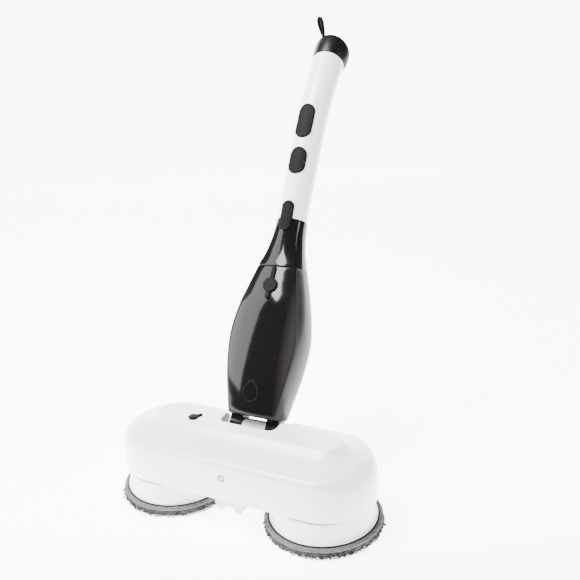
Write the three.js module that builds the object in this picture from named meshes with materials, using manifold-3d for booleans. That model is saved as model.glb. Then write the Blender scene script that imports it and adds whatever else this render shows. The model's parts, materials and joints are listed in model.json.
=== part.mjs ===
import * as THREE from 'three';
import { mergeVertices } from 'three/addons/utils/BufferGeometryUtils.js';
import Module from 'manifold-3d';

const wasm = await Module();
wasm.setup();

// Driving dimensions in millimetres. Floor at z = 0, front of the head towards -Y.
const GAP = 0.3;
const WALL = 2.5;
const DISC_X = 111;
const RIM_R = 70;
const PAD_R = 77;
const PAD_TOP = 13.5;
const LEAN = THREE.MathUtils.degToRad(29);
const HINGE = { y: 34, z: 97 };
const BARREL_R = 11;
const PIN_R = 3.5;
const FLOOR_Z = 66;
const POCKET_X = 41;
const PLATE_Z = 44.4;
const GEAR = { teeth: 42, pitch: 21, z: 60, thick: 7 };
const PINION = { teeth: 14, pitch: 7 };
const GEAR_CENTRES = GEAR.pitch + PINION.pitch + 0.2;
const PINION_X = DISC_X - GEAR_CENTRES;
const SEAM_S = 218;
const NECK_TOP = 288;
const TUBE_END = 538;
const CHARGE = { x: -77, y: -1 };
const NOZZLE_X = 2;

// Housing sections from the lower edge up: height, arc centre x, half depth, centre y, end reach.
const HOUSING = [
  [44, 115, 64.8, 0, 65.8],
  [45.5, 115, 66, 0, 67],
  [78, 115, 66, 0, 67],
  [90, 115, 66, 0, 63.6],
  [95, 115, 64.5, 0.3, 59.8],
  [98.5, 115, 60, 0.8, 55.8],
  [100.8, 115, 53, 1.5, 51.6],
  [102.4, 115, 45, 2.6, 46],
  [103.4, 115, 38, 3.5, 40],
  [105, 115, 33, 4.4, 34],
  [108, 114.5, 28, 5.6, 28],
  [111.5, 114, 24, 6.8, 24],
  [114, 113, 21.2, 8, 21.2],
];

// Lower body sections along the handle axis: distance from hinge, half width, half depth, centre.
const BODY = [
  [13.5, 38.5, 27, 1],
  [15.5, 40.3, 29, 1],
  [28, 43.3, 31, 0.5],
  [51, 48.2, 34.5, 0],
  [74, 52.6, 37, 0],
  [97, 55.7, 38, 0],
  [120, 56.7, 38.2, 0],
  [142, 54.2, 37.8, 0],
  [166, 49, 36.5, 0],
  [189, 42.5, 33.5, 1],
  [213, 35.2, 29.5, 1.2],
  [237, 27.9, 25.2, 1.2],
  [261, 23.4, 22.6, 0.6],
  [NECK_TOP, 21.4, 21.4, 0],
];

function closedShape(points, faces) {
  const geometry = new THREE.BufferGeometry();
  const values = points.flatMap((p) => [p.x, p.y, p.z]);
  geometry.setAttribute('position', new THREE.Float32BufferAttribute(values, 3));
  geometry.setIndex(faces.flat());
  return geometry;
}

// Skin over rings that run counter-clockwise as seen from the far end, capped at both ends.
function loft(rings) {
  const count = rings[0].length;
  const points = rings.flat();
  const faces = [];
  for (let i = 0; i + 1 < rings.length; i += 1) {
    for (let j = 0; j < count; j += 1) {
      const k = (j + 1) % count;
      const low = i * count;
      const high = low + count;
      faces.push([low + j, low + k, high + k], [low + j, high + k, high + j]);
    }
  }
  const middle = (ring) => ring.reduce((sum, p) => sum.clone().add(p)).divideScalar(count);
  const first = points.length;
  const top = (rings.length - 1) * count;
  points.push(middle(rings[0]), middle(rings[rings.length - 1]));
  for (let j = 0; j < count; j += 1) {
    const k = (j + 1) % count;
    faces.push([first, k, j], [first + 1, top + j, top + k]);
  }
  return closedShape(points, faces);
}

function solid(geometry) {
  const bare = geometry.clone();
  bare.deleteAttribute('normal');
  bare.deleteAttribute('uv');
  const merged = mergeVertices(bare, 1e-4);
  const mesh = new wasm.Mesh({
    numProp: 3,
    vertProperties: new Float32Array(merged.attributes.position.array),
    triVerts: new Uint32Array(merged.index.array),
  });
  return new wasm.Manifold(mesh);
}

function surface(body) {
  const mesh = body.getMesh();
  const geometry = new THREE.BufferGeometry();
  geometry.setAttribute('position', new THREE.BufferAttribute(new Float32Array(mesh.vertProperties), 3));
  geometry.setIndex(new THREE.BufferAttribute(new Uint32Array(mesh.triVerts), 1));
  return geometry;
}

const cut = (base, ...tools) => surface(tools.reduce((sum, t) => sum.subtract(solid(t)), solid(base)));
const join = (base, ...more) => surface(more.reduce((sum, m) => sum.add(solid(m)), solid(base)));
const common = (a, b) => surface(solid(a).intersect(solid(b)));

const box = (x0, x1, y0, y1, z0, z1) => new THREE.BoxGeometry(x1 - x0, y1 - y0, z1 - z0)
  .translate((x0 + x1) / 2, (y0 + y1) / 2, (z0 + z1) / 2);
const rod = (r, z0, z1, x = 0, y = 0, segments = 24) => new THREE.CylinderGeometry(r, r, z1 - z0, segments)
  .rotateX(Math.PI / 2).translate(x, y, (z0 + z1) / 2);
const rodX = (r, x0, x1, y, z, segments = 24) => new THREE.CylinderGeometry(r, r, x1 - x0, segments)
  .rotateZ(Math.PI / 2).translate((x0 + x1) / 2, y, z);
const rodY = (r, y0, y1, x, z, segments = 20) => new THREE.CylinderGeometry(r, r, y1 - y0, segments)
  .translate(x, (y0 + y1) / 2, z);

// A flat outline given as [x, y] pairs, raised from z0 to z1.
function prism(outline, z0, z1) {
  const shape = new THREE.Shape(outline.map(([x, y]) => new THREE.Vector2(x, y)));
  return new THREE.ExtrudeGeometry(shape, { depth: z1 - z0, bevelEnabled: false }).translate(0, 0, z0);
}

// A Y-Z outline given as [y, z] pairs, spread from x0 to x1.
function slab(outline, x0, x1) {
  const shape = new THREE.Shape(outline.map(([y, z]) => new THREE.Vector2(y, z)));
  const raised = new THREE.ExtrudeGeometry(shape, { depth: x1 - x0, bevelEnabled: false });
  const turn = new THREE.Matrix4().set(0, 0, 1, x0, 1, 0, 0, 0, 0, 1, 0, 0, 0, 0, 0, 1);
  return raised.applyMatrix4(turn);
}

function stadium(length, width, segments = 8) {
  const r = width / 2;
  const reach = length / 2 - r;
  const outline = [];
  for (let i = 0; i <= segments; i += 1) {
    const a = Math.PI * (i / segments);
    outline.push([r * Math.cos(a), reach + r * Math.sin(a)]);
  }
  for (let i = 0; i <= segments; i += 1) {
    const a = Math.PI * (1 + i / segments);
    outline.push([r * Math.cos(a), -reach + r * Math.sin(a)]);
  }
  return outline;
}

function turned(profile, segments) {
  const outline = profile.map(([r, z]) => new THREE.Vector2(r, z));
  return new THREE.LatheGeometry(outline, segments).rotateX(Math.PI / 2);
}

const lathe = (profile, segments) => surface(solid(turned([...profile, profile[0]], segments)));

// Level outline with elliptical ends: the last value of the row is how far each end reaches out.
function stadiumRing([z, reach, depth, centre, end], segments = 10) {
  const ring = [];
  [[1, -0.5], [-1, 0.5]].forEach(([side, start]) => {
    for (let i = 0; i <= segments; i += 1) {
      const a = Math.PI * (start + i / segments);
      ring.push(new THREE.Vector3(side * reach + end * Math.cos(a), centre + depth * Math.sin(a), z));
    }
  });
  return ring;
}

// Section of the lower body: squarer at the front, rounder at the back.
function bodyRing([s, a, b, centre], front = 2.8, back = 2.3, segments = 28) {
  const ring = [];
  for (let i = 0; i < segments; i += 1) {
    const angle = 2 * Math.PI * (i / segments);
    const c = Math.cos(angle);
    const w = Math.sin(angle);
    const n = 2 / (w < 0 ? front : back);
    const x = a * Math.sign(c) * Math.abs(c) ** n;
    const t = b * Math.sign(w) * Math.abs(w) ** n;
    ring.push(new THREE.Vector3(x, centre + t, s));
  }
  return ring;
}

const lean = (geometry) => geometry.rotateX(-LEAN).translate(0, HINGE.y, HINGE.z);

// Centre line of the upper tube: straight, then bending gently backwards.
function tubeCentre(s) {
  const upright = 300;
  const straight = 405;
  const slope = 0.038;
  if (s < upright) {
    return [0, 0];
  }
  if (s < straight) {
    return [slope * (s - upright), slope];
  }
  const u = s - straight;
  return [slope * (straight - upright) + slope * u + u * u / 900, slope + u / 450];
}

function tubeRing(s, radius, segments = 24, tilt = 0) {
  const [centre, slope] = tubeCentre(s);
  const angle = Math.atan(slope) + tilt;
  const ring = [];
  for (let i = 0; i < segments; i += 1) {
    const a = 2 * Math.PI * (i / segments);
    const t = radius * Math.sin(a);
    ring.push(new THREE.Vector3(radius * Math.cos(a), centre + t * Math.cos(angle), s - t * Math.sin(angle)));
  }
  return ring;
}

const tubeRadius = (s) => 21.2 + 1.8 * Math.max(0, (s - NECK_TOP) / (TUBE_END - NECK_TOP));

// Places a piece, modelled about +Z as outward and +Y as up the tube, on the tube's front face.
function onTube(geometry, s, lift = 0) {
  const [centre, slope] = tubeCentre(s);
  const angle = Math.atan(slope);
  const out = tubeRadius(s) + lift;
  const turn = new THREE.Matrix4().makeRotationX(Math.PI / 2 - angle);
  return geometry.applyMatrix4(turn)
    .translate(0, centre - out * Math.cos(angle), s + out * Math.sin(angle));
}

// Gear outline: each flank is a chord of its involute, thinned for running backlash.
function gearOutline(teeth, pitch, tip, root, turnBy) {
  const pressure = THREE.MathUtils.degToRad(20);
  const base = pitch * Math.cos(pressure);
  const inv = (r) => {
    const a = Math.acos(Math.min(1, base / Math.max(r, base)));
    return Math.tan(a) - a;
  };
  const half = Math.PI / (2 * teeth) - 0.14 / pitch + Math.tan(pressure) - pressure;
  const radii = root < base ? [root, base, tip] : [root, tip];
  const outline = [];
  for (let i = 0; i < teeth; i += 1) {
    const middle = turnBy + 2 * Math.PI * (i / teeth);
    radii.forEach((r) => {
      const a = middle - half + inv(r);
      outline.push([r * Math.cos(a), r * Math.sin(a)]);
    });
    [...radii].reverse().forEach((r) => {
      const a = middle + half - inv(r);
      outline.push([r * Math.cos(a), r * Math.sin(a)]);
    });
  }
  return outline;
}

const group = new THREE.Group();
group.name = 'floor_scrubber';

const PALETTE = {
  white: 0xf2f2f2,
  smoke: 0x2a2a2c,
  black: 0x161617,
  grey: 0x8d9092,
  steel: 0xb8bbbe,
  board: 0x2f6b45,
  cell: 0x3d5f8f,
};

function add(name, colour, geometry) {
  const flat = geometry.index ? geometry.toNonIndexed() : geometry;
  flat.computeVertexNormals();
  const material = new THREE.MeshStandardMaterial({ color: PALETTE[colour] });
  if (colour === 'smoke') {
    material.transparent = true;
    material.opacity = 0.75;
  }
  const mesh = new THREE.Mesh(flat, material);
  mesh.name = name;
  group.add(mesh);
}

// Plan of the hinge pocket: rounded towards the front, flared and open towards the back.
function pocketPlan(grow) {
  const x = POCKET_X + grow;
  const front = 5 - grow;
  const r = 9 + grow;
  const plan = [];
  [[-1, 1], [1, 1.5]].forEach(([side, start]) => {
    for (let i = 0; i <= 6; i += 1) {
      const a = Math.PI * (start + i / 12);
      plan.push([side * (x - r) + r * Math.cos(a), front + r + r * Math.sin(a)]);
    }
  });
  plan.push([x, 44], [x + 10, 72], [-x - 10, 72], [-x, 44]);
  return plan;
}

// White housing of the head.
const housingOuter = loft(HOUSING.map((row) => stadiumRing(row)));
const innerRows = HOUSING
  .map(([z, reach, depth, centre, end]) => [z - WALL, reach, depth - WALL, centre, end - WALL]);
innerRows[0][0] = 40;
const housingInner = cut(
  loft(innerRows.map((row) => stadiumRing(row))),
  prism(pocketPlan(3), FLOOR_Z - 3, 130),
);
const nozzleHole = box(NOZZLE_X - 5.3, NOZZLE_X + 5.3, -70, -60, 71.7, 82.3);
add('head_housing', 'white', cut(
  housingOuter,
  housingInner,
  prism(pocketPlan(0), FLOOR_Z, 130),
  rod(5, 105, 120, CHARGE.x, CHARGE.y, 20),
  nozzleHole,
  rodX(PIN_R + GAP, -46, 46, HINGE.y, HINGE.z, 24),
));

// Base plate with bearing bosses, tray between the discs, front skirt and two support lugs.
const plate = loft([PLATE_Z, PLATE_Z + 3].map((z) => stadiumRing([z, 115, 62.8, 0, 62.8])));
const bosses = [-1, 1].map((side) => rod(11, PLATE_Z, 58, side * DISC_X, 0));
const lugs = [-1, 1].flatMap((side) => [
  rodY(6, -49.5, -37, side * 13, 22.5, 20),
  box(side * 13 - 6, side * 13 + 6, -49.5, -37, 22.5, 30),
]);
const skirt = box(-21, 21, -49.8, -36, 25, 37);
const tray = box(-36, 36, -50, 50, 36.5, PLATE_Z + 1);
add('base_plate', 'grey', cut(
  join(plate, ...bosses, tray, skirt, ...lugs),
  box(-33.5, 33.5, -47.5, 47.5, 39, 60),
  ...[-1, 1].map((side) => rod(8.3, 40, 60, side * DISC_X, 0)),
));

add('spray_nozzle', 'grey', join(
  box(NOZZLE_X - 5, NOZZLE_X + 5, -64, -58, 72, 82),
  rodY(2.6, -65.5, -63, NOZZLE_X, 77, 16),
));

add('battery_pack', 'cell', box(-32.5, 32.5, -46, -4, 39.3, 61));
add('control_board', 'board', box(-32, 32, -44, -4, 66, 67.6));
const holdY = -24;
add('board_bracket', 'grey', cut(
  box(-35.5, 35.5, holdY - 6, holdY + 6, 47.7, 65.7),
  box(-33, 33, holdY - 10, holdY + 10, 40, 63.2),
));

// Spray pump behind the battery and the hose that runs forward to the nozzle.
const PUMP = { x: -60, y: 42 };
add('spray_pump', 'grey', join(
  rod(10, 47.7, 74, PUMP.x, PUMP.y, 24),
  rod(3.2, 73, 80, PUMP.x, PUMP.y, 16),
));
const hosePath = new THREE.CatmullRomCurve3([
  new THREE.Vector3(PUMP.x, PUMP.y, 80.6),
  new THREE.Vector3(PUMP.x, PUMP.y - 0.2, 84),
  new THREE.Vector3(PUMP.x + 2, PUMP.y - 14, 89),
  new THREE.Vector3(-55, 0, 88),
  new THREE.Vector3(-48, -30, 84),
  new THREE.Vector3(-22, -48, 79),
  new THREE.Vector3(NOZZLE_X, -53, 77),
  new THREE.Vector3(NOZZLE_X, -57.6, 77),
]);
const hoseSection = new THREE.Shape();
hoseSection.absarc(0, 0, 2.4, 0, 2 * Math.PI, false);
add('spray_hose', 'black', new THREE.ExtrudeGeometry(hoseSection, {
  steps: 16,
  extrudePath: hosePath,
  curveSegments: 8,
}));

add('charge_socket', 'black', cut(
  box(CHARGE.x - 7, CHARGE.x + 7, CHARGE.y - 7, CHARGE.y + 7, 100.5, 110),
  rod(4.6, 103, 115, CHARGE.x, CHARGE.y, 20),
));

// Hinge parts that belong to the head: steel pin, centre block and two end bosses.
function hingeCheek(x0, x1, half) {
  const outline = [[HINGE.y - half, FLOOR_Z + GAP]];
  outline.push([HINGE.y + half, FLOOR_Z + GAP]);
  for (let i = 0; i <= 12; i += 1) {
    const a = Math.PI * (i / 12);
    outline.push([HINGE.y + half * Math.cos(a), HINGE.z + half * Math.sin(a)]);
  }
  return cut(slab(outline, x0, x1), rodX(PIN_R + GAP, x0 - 1, x1 + 1, HINGE.y, HINGE.z, 24));
}
add('hinge_pin', 'steel', rodX(PIN_R, -43.8, 43.8, HINGE.y, HINGE.z));
add('hinge_block', 'white', hingeCheek(-17.6, 17.6, 10));
add('left_hinge_cheek', 'white', hingeCheek(-40.7, -36.6, 10));
add('right_hinge_cheek', 'white', hingeCheek(36.6, 40.7, 10));

// Each side of the head: bearing, axle, drum, gear, hook disc, pad, pinion, motor and bracket.
const drum = lathe([
  [RIM_R, 13.9], [RIM_R, 16.4], [68.2, 17.8], [65.8, 40], [64.4, 42], [5.3, 42],
  [5.3, 16.3], [9, 16.3], [9, 39.4], [62.6, 39.4], [65.6, 17.4], [66.8, 13.9],
], 28);
const pad = lathe([
  [2, 0], [73, 0], [76, 2], [PAD_R, 6], [PAD_R, 9.5], [75.5, 12.8], [73, PAD_TOP], [2, PAD_TOP],
], 28);
const hookDisc = lathe([[3, 13.8], [64, 13.8], [64, 16], [3, 16]], 24);
const bearing = lathe([[5.08, 45], [8, 45], [8, 57.4], [5.08, 57.4]], 24);
const axle = rod(5, 16.3, 71);
const gear = cut(
  prism(gearOutline(GEAR.teeth, GEAR.pitch, 21.8, 19.8, 0), GEAR.z, GEAR.z + GEAR.thick),
  rod(5.3, 50, 80, 0, 0, 24),
);
const pinionGear = join(
  prism(gearOutline(PINION.teeth, PINION.pitch, 8, 5.9, Math.PI / PINION.teeth), GEAR.z, GEAR.z + GEAR.thick),
  rod(2.4, GEAR.z + GEAR.thick - 1, 76, 0, 0, 16),
);
const motor = cut(rod(14, 70.2, 98), rod(2.8, 60, 78, 0, 0, 20));
const bracket = cut(
  box(-7, 7, -19.5, 19.5, 47.7, 69.9),
  box(-9, 9, -17, 17, 40, 67.5),
  rod(3.4, 60, 80, 0, 0, 20),
);
[['left', -1], ['right', 1]].forEach(([side, sign]) => {
  const place = (geometry, x) => geometry.clone().translate(sign * x, 0, 0);
  add(`${side}_bearing`, 'steel', place(bearing, DISC_X));
  add(`${side}_axle`, 'steel', place(axle, DISC_X));
  add(`${side}_drum`, 'white', place(drum, DISC_X));
  add(`${side}_gear`, 'grey', place(gear, DISC_X));
  add(`${side}_hook_disc`, 'black', place(hookDisc, DISC_X));
  add(`${side}_pad`, 'grey', place(pad, DISC_X));
  add(`${side}_pinion`, 'steel', place(pinionGear, PINION_X));
  add(`${side}_motor`, 'steel', place(motor, PINION_X));
  add(`${side}_motor_bracket`, 'grey', place(bracket, PINION_X));
});

// Rubber cover over the charging socket: round cap, stem and a strap that bends at its root.
const STRAP = { x: CHARGE.x + 7.5, y: CHARGE.y + 10.5 };
const strapRun = Math.atan2(STRAP.y - CHARGE.y, STRAP.x - CHARGE.x);
const strap = box(0, 13, -2.6, 2.6, 114.3, 116.4).rotateZ(strapRun).translate(CHARGE.x, CHARGE.y, 0);
add('charge_cover', 'black', join(
  rod(6.6, 114.3, 117, CHARGE.x, CHARGE.y, 28),
  strap,
  rod(3.4, 110.4, 115, CHARGE.x, CHARGE.y, 20),
));

// Lower body: tank at the front, shell at the back, knuckles below.
const bodyOuter = loft(BODY.map((row) => bodyRing(row)));
const inset = (row, by) => [row[0], row[1] - by, row[2] - by, row[3]];
const at = (s) => {
  const i = BODY.findIndex((row) => row[0] > s);
  const f = (s - BODY[i - 1][0]) / (BODY[i][0] - BODY[i - 1][0]);
  return BODY[i].map((value, k) => BODY[i - 1][k] + f * (value - BODY[i - 1][k]));
};
const cavityRows = [at(16.5), ...BODY.filter((row) => row[0] > 20 && row[0] < SEAM_S - 3), at(SEAM_S - 3)];
const cavity = loft(cavityRows.map((row) => bodyRing(inset(row, 2.4))));
const below = box(-90, 90, -90, 90, -20, SEAM_S - GAP / 2);
const lower = common(bodyOuter, below);
const PLUG_S = 191;
const plugSlope = 0.172;
const onTank = (geometry) => geometry.rotateX(-plugSlope).translate(0, -32.2, PLUG_S);
add('water_tank', 'smoke', lean(cut(
  common(lower, box(-90, 90, -90, 2.85, -20, 400)),
  common(cavity, box(-90, 90, -90, 0.45, -20, 400)),
  onTank(rodY(7.5, -20, 8, 0, 0, 24)),
  rodY(4.5, -5, 10, 0, 32, 20),
)));
add('rear_shell', 'smoke', lean(cut(
  common(lower, box(-90, 90, 3.15, 90, -20, 400)),
  common(cavity, box(-90, 90, -10, 90, -20, 400)),
)));
const neckBore = loft([
  bodyRing([SEAM_S - 2, 32, 26.4, 1.2], 2.4, 2.3),
  bodyRing([240, 24.2, 22.2, 1.2], 2.3, 2.2),
  bodyRing([243.5, 18.2, 18.2, 0], 2, 2),
  bodyRing([NECK_TOP + 3, 18.2, 18.2, 0], 2, 2),
]);
const LATCH_S = 291;
const notch = prism(stadium(44, 18.2), -12, 12).rotateX(Math.PI / 2).translate(0, -22, LATCH_S);
add('neck_collar', 'smoke', lean(cut(
  common(bodyOuter, box(-90, 90, -90, 90, SEAM_S + GAP / 2, 400)),
  neckBore,
  notch,
)));

function knuckle(x0, x1) {
  const outline = [[-9.5, 0], [-9.5, 13.2], [9.5, 13.2], [9.5, 0]].reverse();
  const barrel = rodX(BARREL_R, x0, x1, 0, 0);
  return lean(cut(join(slab(outline, x0, x1), barrel), rodX(PIN_R + 0.09, x0 - 1, x1 + 1, 0, 0)));
}
add('left_knuckle', 'black', knuckle(-36.2, -18));
add('right_knuckle', 'black', knuckle(18, 36.2));

// Filler plug: round cap, pull tab below, strap above up to its root at the seam.
const facing = (outline, depth) => prism(outline, 0, depth).rotateX(Math.PI / 2);
const plugFace = -0.5;
add('filler_plug', 'black', lean(onTank(join(
  rodY(10.2, plugFace - 2.6, plugFace, 0, 0, 24),
  facing(stadium(17, 6.4), 2.2).translate(0, plugFace, -12),
  rodY(6.6, plugFace - 1, 4, 0, 0, 24),
  facing(stadium(24, 6), 2).translate(0, plugFace, 15),
))));
add('tank_valve', 'black', lean(cut(rodY(4.2, 0.8, 9, 0, 32, 20), rodY(2, -1, 12, 0, 32, 14))));

// Tube with its spigot, button seats and cap.
const sTube = [];
for (let s = NECK_TOP + GAP; s < TUBE_END; s += 23.6) {
  sTube.push(s);
}
sTube.push(TUBE_END);
const tubeOuter = loft(sTube.map((s) => tubeRing(s, tubeRadius(s))));
const boreRows = sTube.slice(1, -1).map((s) => tubeRing(s, tubeRadius(s) - WALL));
const tubeInner = loft([
  tubeRing(238, 15.2),
  tubeRing(NECK_TOP + 4, 15.2),
  tubeRing(NECK_TOP + 8, 18.4),
  ...boreRows,
  tubeRing(TUBE_END + 2, tubeRadius(TUBE_END) - WALL),
]);
const spigot = rod(17.6, 245, NECK_TOP + 4);
const seatCut = (length, width, s) => onTube(prism(stadium(length, width), -10, 12), s);
const POWER_S = 429;
const SPRAY_S = 371;
add('handle_tube', 'white', lean(cut(
  join(tubeOuter, spigot),
  tubeInner,
  seatCut(52, 25, POWER_S),
  seatCut(40, 26, SPRAY_S),
  seatCut(44, 18.2, LATCH_S),
)));

// A button is a rounded pad with a wider foot inside the tube that keeps it from falling out.
function button(length, width, s, top) {
  const foot = prism(stadium(length, width), -5.6, top - 1.4);
  const crown = prism(stadium(length - 3, width - 3), top - 1.6, top);
  return onTube(join(foot, crown), s);
}
add('power_button', 'black', lean(button(51.2, 24.2, POWER_S, 1.4)));
add('spray_button', 'black', lean(button(39.2, 25.2, SPRAY_S, 1.4)));
add('release_latch', 'black', lean(onTube(join(
  prism(stadium(42.6, 17), -3.1, 1.6),
  prism(stadium(38, 13), 1.4, 3),
), LATCH_S)));
const switchSpan = box(-8, 8, -44, 44, 0, 1.6);
add('switch_board', 'board', lean(onTube(switchSpan, 400, -17)));

// Slanted end cap that flares into a lip at the back, closed by a top face.
const CAP = [
  [0.3, 23.2, 0],
  [5, 25, 0.12],
  [12, 26.6, 0.22],
  [20, 27, 0.3],
  [23, 25, 0.3],
];
add('end_cap', 'black', lean(cut(
  loft(CAP.map(([up, r, tilt]) => tubeRing(TUBE_END + up, r, 28, tilt))),
  loft([tubeRing(TUBE_END - 4, 20.5, 20), tubeRing(TUBE_END + 14, 21.5, 20, 0.22)]),
)));

// Hanging loop moulded from black rubber, standing on the left of the cap's raised front rim.
const loopPath = [];
for (let i = 0; i < 20; i += 1) {
  const a = 2 * Math.PI * (i / 20);
  const high = 12.2 - 12.2 * Math.cos(a);
  loopPath.push(new THREE.Vector3(5.8 * Math.sin(a) * (0.4 + high / 40), 0, high));
}
const strand = new THREE.Shape();
strand.absarc(0, 0, 2, 0, 2 * Math.PI, false);
const loopSolid = new THREE.ExtrudeGeometry(strand, {
  steps: 28,
  extrudePath: new THREE.CatmullRomCurve3(loopPath, true),
  curveSegments: 7,
});
const rimRing = tubeRing(TUBE_END + 23, 24, 36, 0.3);
const root = lean(new THREE.BufferGeometry().setFromPoints([rimRing[24]])).attributes.position;
add('hanging_loop', 'black', loopSolid.rotateY(-0.26).rotateZ(-0.3)
  .translate(root.getX(0), root.getY(0) + 1, root.getZ(0) + 4.6));

// The frame origin is the middle of the footprint of the whole part, on the floor.
const bounds = new THREE.Box3().setFromObject(group);
const middleX = (bounds.min.x + bounds.max.x) / 2;
const middleY = (bounds.min.y + bounds.max.y) / 2;
group.children.forEach((mesh) => {
  mesh.geometry.translate(-middleX, -middleY, -bounds.min.z);
});

export default group;
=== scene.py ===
import json
import math
import random

import bmesh
import bpy
from mathutils import Matrix, Vector, noise

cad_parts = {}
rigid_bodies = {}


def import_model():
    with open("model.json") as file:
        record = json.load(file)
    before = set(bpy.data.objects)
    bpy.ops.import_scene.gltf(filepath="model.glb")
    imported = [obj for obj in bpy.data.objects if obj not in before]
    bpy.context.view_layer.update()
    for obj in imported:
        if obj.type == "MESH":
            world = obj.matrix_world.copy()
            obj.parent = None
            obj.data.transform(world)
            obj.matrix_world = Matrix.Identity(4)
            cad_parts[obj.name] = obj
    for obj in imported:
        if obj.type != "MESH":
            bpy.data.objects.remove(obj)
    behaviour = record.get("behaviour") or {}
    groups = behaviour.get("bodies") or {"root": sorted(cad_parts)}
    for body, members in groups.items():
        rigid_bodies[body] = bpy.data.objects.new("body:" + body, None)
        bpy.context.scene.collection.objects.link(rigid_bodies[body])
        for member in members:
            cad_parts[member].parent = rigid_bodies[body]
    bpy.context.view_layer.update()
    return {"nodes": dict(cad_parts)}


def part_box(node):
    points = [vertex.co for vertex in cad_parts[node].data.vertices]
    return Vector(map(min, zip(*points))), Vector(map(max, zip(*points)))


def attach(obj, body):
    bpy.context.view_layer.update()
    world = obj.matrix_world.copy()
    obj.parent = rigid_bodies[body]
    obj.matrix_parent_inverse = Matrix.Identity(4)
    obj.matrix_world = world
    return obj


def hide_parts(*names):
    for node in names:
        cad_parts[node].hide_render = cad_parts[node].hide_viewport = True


for leftover in list(bpy.data.objects):
    bpy.data.objects.remove(leftover)

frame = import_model()

# Sizes are in millimetres around the head's own origin, and MM brings them into the frame.
MM = 0.001
LEAN = math.radians(29)
HINGE_Y, HINGE_Z = 34.0, 97.0
pin_low, pin_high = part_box("hinge_pin")
ORIGIN = Vector(pin_low) / 2 + Vector(pin_high) / 2 - Vector((0, HINGE_Y, HINGE_Z)) * MM
DISC_X = 111.0
SEAM_S = 218.0
NECK_TOP = 288.0
TUBE_END = 538.0
POWER_S, SPRAY_S, LATCH_S, PLUG_S = 429.0, 371.0, 291.0, 191.0
CHARGE_X, CHARGE_Y = -77.0, -1.0
PLATEAU_Z = 114.0
NOZZLE_X, NOZZLE_Z, NOZZLE_HALF, NOZZLE_GAP = 2.0, 77.0, 5.0, 0.15
JOINT_GAP = 0.15

# Head housing sections: height, arc centre x, half depth, centre y, end reach.
HOUSING = [
    (44, 115, 64.6, 0, 65.6), (44.6, 115, 65.6, 0, 66.6), (45.8, 115, 66, 0, 67), (66, 115, 66.2, 0, 67.2),
    (76, 115, 66.1, 0, 67), (81, 115, 66.05, 0, 66.3), (85.5, 115, 66, 0, 65.1), (90, 115, 65.9, 0, 63.4),
    (93.5, 115, 65.3, 0.1, 61.4), (96.5, 115, 63.2, 0.4, 58.8), (98.8, 115, 59.2, 0.8, 55.8),
    (100.6, 115, 53, 1.5, 52.2), (102.0, 115, 46.5, 2.4, 47.4), (103.0, 115, 40, 3.3, 42),
    (104.0, 115, 35.4, 4.1, 37.2), (106, 114.8, 31, 5, 31.6), (108.6, 114.4, 27.6, 6, 27.6),
    (111.2, 113.9, 24.8, 6.9, 24.8), (113, 113.4, 22.8, 7.5, 22.8), (113.8, 113.1, 21.6, 7.9, 21.6),
    (114, 113, 20.4, 8, 20.4),
]
# Tilting body sections: distance from the hinge, half width, half depth, centre.
BODY = [
    (13.5, 38.5, 27, 1), (15.5, 40.3, 29, 1), (28, 43.3, 31, 0.5), (51, 48.2, 34.5, 0), (74, 52.6, 37, 0),
    (97, 55.7, 38, 0), (120, 56.7, 38.2, 0), (142, 54.2, 37.8, 0), (166, 49, 36.5, 0), (189, 42.5, 33.5, 1),
    (213, 35.2, 29.5, 1.2), (237, 27.9, 25.2, 1.2), (261, 23.4, 22.6, 0.6), (NECK_TOP, 21.4, 21.4, 0),
]


def place(x, y, z):
    return Vector((x, y, z)) * MM + ORIGIN


def leaning(x, t, s):
    """A point of the tilting body: x across, t backwards, s along the handle from the hinge."""
    y = HINGE_Y + s * math.sin(LEAN) + t * math.cos(LEAN)
    z = HINGE_Z + s * math.cos(LEAN) - t * math.sin(LEAN)
    return place(x, y, z)


def hermite(rows, s):
    """Smooth value of a table of rows at s, with slopes from the neighbouring rows."""
    last = len(rows) - 1
    i = max(0, min(last - 1, sum(1 for row in rows if row[0] <= s) - 1))
    a, b = rows[i], rows[i + 1]
    before, after = rows[max(0, i - 1)], rows[min(last, i + 2)]
    step = b[0] - a[0]
    f = (s - a[0]) / step
    out = []
    for k in range(1, len(a)):
        slope_a = (b[k] - before[k]) / (b[0] - before[0]) * step
        slope_b = (after[k] - a[k]) / (after[0] - a[0]) * step
        h = 2 * f ** 3 - 3 * f ** 2 + 1
        out.append(h * a[k] + (f ** 3 - 2 * f ** 2 + f) * slope_a
                   + (3 * f ** 2 - 2 * f ** 3) * b[k] + (f ** 3 - f ** 2) * slope_b)
    return out


# Materials ---------------------------------------------------------------------------------------
ROUGH_SPREAD = 0.04
MOTTLE_FROM, MOTTLE_TO = 0.35, 0.65
FINE_GRAIN = 9
RELIEF_DEPTH = 0.0004
COAT_ROUGH = 0.06


def mottled(nodes, links, grainy, colour, shade):
    """Colour that wanders with the grain by the share given as shade."""
    tint = nodes.new("ShaderNodeValToRGB")
    ends = ((MOTTLE_FROM, [max(0.0, c * (1 - shade)) for c in colour]),
            (MOTTLE_TO, [min(1.0, c * (1 + shade)) for c in colour]))
    for stop, (position, value) in zip(tint.color_ramp.elements, ends):
        stop.position = position
        stop.color = (*value, 1)
    links.new(grainy.outputs["Fac"], tint.inputs["Fac"])
    return tint.outputs["Color"]


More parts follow.
